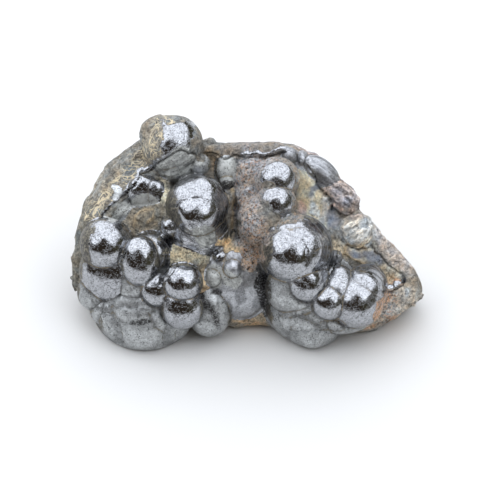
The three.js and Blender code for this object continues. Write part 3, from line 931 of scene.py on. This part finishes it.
def rock_colour(g, tex, split, hairs):
    """The rock's ground colour, mottled, with crumbs of crust, painted shadows in its hollows, painted
    glints, splits, hairs, and cracks darkened with painted shadow.
    """
    smooth, orange = g.mask("smooth"), g.mask("orange")
    mottle = g.ramp(g.sum(g.times(tex.crumb, 0.6), g.times(tex.grain, 0.4)), 0.36, 0.64)
    spread = g.mix(smooth, g.mix(orange, 1.25, 1.7), 0.7)
    level = g.sum(1.06, g.times(g.minus(mottle, 0.5), spread))
    rock = g.tint(g.mask("tone", "Color"), g.times(level, tex.streak))
    rock = g.blend(g.ramp(tex.broad, 0.42, 0.58, 0.0, 0.35), rock, g.tint(rock, COOL))
    speck = g.ramp(g.sum(tex.grain, g.times(tex.flicker, 0.9)), 0.55, 0.63)
    rock = g.blend(g.times(orange, speck, 0.75), rock, ORANGE)
    # painted glints: pale specks that stand in for sparkle
    glint = g.ramp(g.minus(tex.finest, g.times(tex.wander, 0.5)), 0.55, 0.61)
    rock = g.blend(g.times(orange, glint, 0.65), rock, GLINT)
    # painted shadow in the hollows of the fine relief
    shadow = g.ramp(g.minus(tex.crumb, g.times(tex.wander, 0.5)), 0.45, 0.37)
    dark = g.mix(smooth, g.mix(orange, 0.4, 0.95), 0.15)
    rock = g.blend(g.times(dark, shadow), rock, SOOT)
    rock = g.blend(g.times(split, 0.6), rock, SOOT)
    rock = g.blend(g.times(hairs, 0.95), rock, HAIR)
    # cracks, darkened also as painted shadow under the lips
    rock = g.blend(g.times(g.mask("crack"), 0.85), rock, SOOT)
    return g.tint(rock, tex.fibre_level)


def metal_marks(g, tex):
    """Where the metal is bare, and where it has pits, steps, film, dust with a painted pale reflection, grime
    with painted shade, and painted shade and dark reflections.
    """
    wander, flicker = tex.wander, tex.flicker
    marks = SimpleNamespace()
    flecks = g.sum(g.times(wander, 0.9), g.times(g.mask("orange"), flicker, 1.8))
    marks.bare = g.ramp(g.sum(g.mask("metal"), flecks), 0.42, 0.58)

    # Pits and worm-like grooves.
    pit_edge = g.mix(g.mask("matte"), 0.28, 0.33)
    pits = g.ramp(g.sum(g.spots(tex.place, 2500.0), g.times(flicker, 0.6)), 0.17, pit_edge, 1.0, 0.0)
    pits = g.times(pits, g.ramp(g.noise(tex.place, 620.0, 2.0), 0.38, 0.54, 0.3, 1.0))
    worms = g.times(g.veins(tex.place, 1700.0, 0.03, 1.0), g.ramp(g.noise(tex.place, 800.0, 2.0), 0.48, 0.58))
    marks.pits = g.most(pits, g.times(worms, 0.6))

    # Shell-like steps with painted shade at their feet, film, and dust that also paints a pale reflection.
    marks.step = g.math("FRACT", g.times(g.mask("shell_count"), MOST_SHELLS))
    step_foot = g.times(g.mask("shell"), g.ramp(marks.step, 0.6, 0.95))
    film = g.sum(g.mask("film"), g.times(wander, 1.6), g.times(g.minus(tex.crumb, 0.5), 1.4))
    marks.film = g.ramp(film, 0.42, 0.72)
    marks.dust = g.ramp(g.sum(g.mask("dust"), g.times(wander, 0.8)), 0.3, 0.7)

    # Creases: grime and painted shade beside them, a dark line of painted shade in them, with clay in it here
    # and there.
    marks.away = g.times(g.mask("crease_away"), CREASE_REACH)
    bend = g.mask("crease_bend")
    # painted shade beside the creases
    near = g.times(bend, g.ramp(g.sum(marks.away, g.times(wander, 1.2)), 0.0, 0.7, 1.0, 0.0))
    foot = g.ramp(g.sum(g.mask("foot"), g.times(wander, 1.1), g.times(flicker, 0.9)), 0.42, 0.9)
    # grime together with painted shade beside creases, at the domes' feet and at the steps' feet
    marks.grime = g.most(g.times(near, 0.6), foot, g.times(step_foot, 0.8))
    # a dark line of painted shade in each crease
    marks.line = g.times(bend, g.ramp(g.sum(marks.away, g.times(wander, 0.5)), 0.06, 0.22, 1.0, 0.0))
    marks.clay = g.times(marks.line, g.ramp(tex.broad, 0.48, 0.56))

    # painted shade and painted dark reflections
    gloom = g.ramp(g.sum(g.mask("gloom"), g.times(wander, 1.5), g.times(flicker, 1.2)), 0.2, 1.0)
    marks.gloom = g.times(gloom, g.ramp(tex.fine, 0.38, 0.5, 0.35, 1.0))
    return marks


def metal_colour(g, tex, marks):
    """The metal's grey, mottled, with painted shade towards the creases and on the cells, under its marks."""
    matte = g.mask("matte")
    shine = g.ramp(g.sum(g.times(tex.crumb, 0.6), g.times(tex.finest, 0.4)), 0.39, 0.61, 0.74, 1.14)
    # painted shade on the cells: lighter at the middle, darker at the edges
    cell = g.ramp(g.mask("cell"), 0.4, 0.8, 0.91, 1.07)
    # painted shade: the metal darker towards the creases
    towards_crease = g.ramp(g.sum(marks.away, g.times(tex.wander, 1.2)), 0.0, 1.1, 0.7, 1.0)
    dim = g.times(cell, g.ramp(tex.grain, 0.36, 0.6, 0.84, 1.06), towards_crease)
    dim = g.mix(matte, g.ramp(tex.grain, 0.36, 0.6, 0.93, 1.05), dim)
    colour = g.blend(matte, HEMATITE, MATTE_HEMATITE)
    colour = g.tint(colour, g.times(shine, dim, tex.streak, tex.fibre_level))
    flank = g.blend(g.ramp(tex.crumb, 0.44, 0.62), DARK_OLIVE, OLIVE)
    colour = g.blend(g.times(marks.film, 0.9), colour, flank)
    # grime and painted shade
    colour = g.blend(g.times(marks.grime, 0.6), colour, GRIME)
    # pale dust, and a painted reflection of the pale floor
    colour = g.blend(g.times(marks.dust, 0.8), colour, g.tint(DUST, g.times(tex.fibre_level, dim)))
    # painted shade: darker in grooves, crevices and where dark things would be mirrored
    colour = g.blend(g.times(marks.gloom, 0.9), colour, SOOT)
    # the dark line of painted shade in the creases
    colour = g.blend(g.times(marks.line, 0.5), colour, SOOT)
    colour = g.blend(g.times(marks.clay, 0.8), colour, LINE_TAN)
    colour = g.blend(g.times(marks.pits, g.mix(matte, 0.76, 0.9)), colour, SOOT)
    # cracks, darkened also as painted shadow under the lips
    return g.blend(g.times(g.mask("crack"), 0.9), colour, SOOT)


def gloss(g, tex, marks):
    """How metallic and how rough the surface is."""
    matte = g.mask("matte")
    dull = g.most(g.times(marks.film, 0.6), g.times(marks.grime, 0.4), g.times(marks.line, 0.7),
                  g.times(marks.pits, 0.4), g.times(matte, 0.3), g.times(marks.dust, 0.75))
    metallic = g.times(marks.bare, g.minus(1.0, dull))
    rough = g.mix(g.mask("satin"), g.ramp(tex.broad, 0.35, 0.7, *BRIGHT_ROUGH), SATIN_ROUGH)
    rough = g.mix(matte, rough, MATTE_ROUGH)
    dirty = g.most(g.times(marks.grime, 0.7), g.times(marks.film, 0.7), g.times(marks.pits, 0.12))
    rough = g.mix(dirty, rough, DIRTY_ROUGH)
    return metallic, g.mix(marks.bare, g.mix(tex.grain, 0.5, 0.8), rough)


def fine_relief(g, tex, marks, split, hairs):
    """Relief too fine for the skin, as a share of BUMP_DEPTH."""
    rock = g.sum(g.times(tex.grain, 1.5), g.times(tex.crumb, g.mix(g.mask("smooth"), 1.6, 0.8)))
    rock = g.sum(rock, g.minus(g.times(hairs, 0.5), g.times(split, 0.6)))
    ripple = g.sum(g.times(tex.fine, g.mix(g.most(marks.film, g.mask("matte")), 0.13, 0.4)),
                   g.times(tex.finest, 0.05), g.times(g.noise(tex.place, 800.0, 1.0, 0.4), 0.25))
    sunken = g.sum(g.times(marks.pits, 0.12), g.times(g.mask("shell"), marks.step, 3.0))
    return g.sum(g.mix(marks.bare, rock, g.minus(ripple, sunken)), g.times(tex.fibres, 2.0))


def hematite_finish():
    material = bpy.data.materials.new("hematite_skin")
    material.use_nodes = True
    shader = material.node_tree.nodes["Principled BSDF"]
    g = Graph(material.node_tree)
    tex = textures(g)
    split, hairs = rock_lines(g, tex)
    marks = metal_marks(g, tex)
    rock = rock_colour(g, tex, split, hairs)
    metallic, roughness = gloss(g, tex, marks)
    g.feed(shader.inputs["Base Color"], g.blend(marks.bare, rock, metal_colour(g, tex, marks)))
    g.feed(shader.inputs["Metallic"], metallic)
    g.feed(shader.inputs["Roughness"], roughness)
    height = fine_relief(g, tex, marks, split, hairs)
    bump = g.node("ShaderNodeBump", Strength=1.0, Distance=BUMP_DEPTH * MM, Height=height)
    g.feed(shader.inputs["Normal"], bump.outputs["Normal"])
    return material


def hematite():
    piece = voxel_copy("hematite")
    dress(piece.data)
    shade(piece.data)
    piece.data.materials.append(hematite_finish())
    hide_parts("hematite")
    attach(piece, "root")


# ------------------------------------------------------------------ floor, light and camera

def floor():
    bpy.ops.mesh.primitive_circle_add(vertices=64, radius=3.0, fill_type="NGON", location=(0, 0, 0))
    plane = bpy.context.object
    plane.name = "floor"
    material = bpy.data.materials.new("floor")
    material.use_nodes = True
    shader = material.node_tree.nodes["Principled BSDF"]
    shader.inputs["Base Color"].default_value = (0.78, 0.775, 0.76, 1.0)
    shader.inputs["Roughness"].default_value = 0.9
    shader.inputs["Specular IOR Level"].default_value = 0.2
    plane.data.materials.append(material)


SKY = (2.0, 2.07, 2.2, 1.0)
WALLS = (0.056, 0.043, 0.032, 1.0)
WALLS_RIGHT = (0.10, 0.09, 0.06, 1.0)
BACKDROP = (0.9, 0.9, 0.905, 1.0)

# How high the dark things around the specimen stand: azimuth from the front, to the right, and
# elevation of their tops.
SKYLINE = [
    (-180, 4), (-130, 5), (-110, 14), (-90, 24), (-65, 28), (-52, 34), (-40, 60), (-30, 66),
    (-14, 70), (-8, 78), (6, 78), (12, 68), (24, 64), (34, 40), (46, 30), (56, 34), (70, 38),
    (95, 34), (120, 28), (150, 24), (165, 8), (180, 4),
]


def studio():
    """A broad soft light overhead and behind, over dark things that stand around the specimen.

    The nodes have their angles in radians.
    """
    world = bpy.data.worlds.new("studio")
    bpy.context.scene.world = world
    world.use_nodes = True
    g = Graph(world.node_tree)
    way = g.node("ShaderNodeTexCoord").outputs["Generated"]
    x, y, z = g.node("ShaderNodeSeparateXYZ", Vector=way).outputs
    azimuth = g.math("ARCTAN2", x, g.times(y, -1.0))
    elevation = g.math("ARCSINE", z)
    ragged = g.minus(g.noise(way, 9.0, 8.0, 0.7), 0.5)
    across = g.sum(0.5, g.times(g.sum(azimuth, g.times(ragged, 0.35)), 0.5 / math.pi))
    skyline = world.node_tree.nodes.new("ShaderNodeValToRGB")
    stops = skyline.color_ramp.elements
    for turn, _ in SKYLINE[1:-1]:
        stops.new((turn + 180) / 360)
    for stop, (_, top) in zip(stops, SKYLINE):
        stop.color = (top / 90, top / 90, top / 90, 1)
    g.feed(skyline.inputs["Fac"], across)
    top = g.sum(g.times(skyline.outputs["Color"], math.pi / 2), g.times(ragged, 0.3))
    bright = g.ramp(g.minus(elevation, top), -0.02, 0.02)
    walls = g.blend(g.ramp(azimuth, 0.2, 0.7), WALLS, WALLS_RIGHT)
    light = g.blend(bright, walls, SKY)
    seen = g.node("ShaderNodeLightPath").outputs["Is Camera Ray"]
    g.feed(world.node_tree.nodes["Background"].inputs["Color"], g.blend(seen, light, BACKDROP))


def camera():
    data = bpy.data.cameras.new("camera")
    data.lens = LENS
    data.sensor_width = SENSOR
    data.clip_end = 20
    made = bpy.data.objects.new("camera", data)
    bpy.context.scene.collection.objects.link(made)
    distance = LENS / SENSOR * FRAME_WIDTH
    made.location = from_face(np.array(FRAME_CENTRE) + np.array([0, 0, distance]))
    made.rotation_euler = (math.radians(90 - VIEW_ELEVATION), 0, 0)
    bpy.context.scene.camera = made


hematite()
floor()
studio()
camera()
bpy.context.scene.view_settings.view_transform = "Standard"
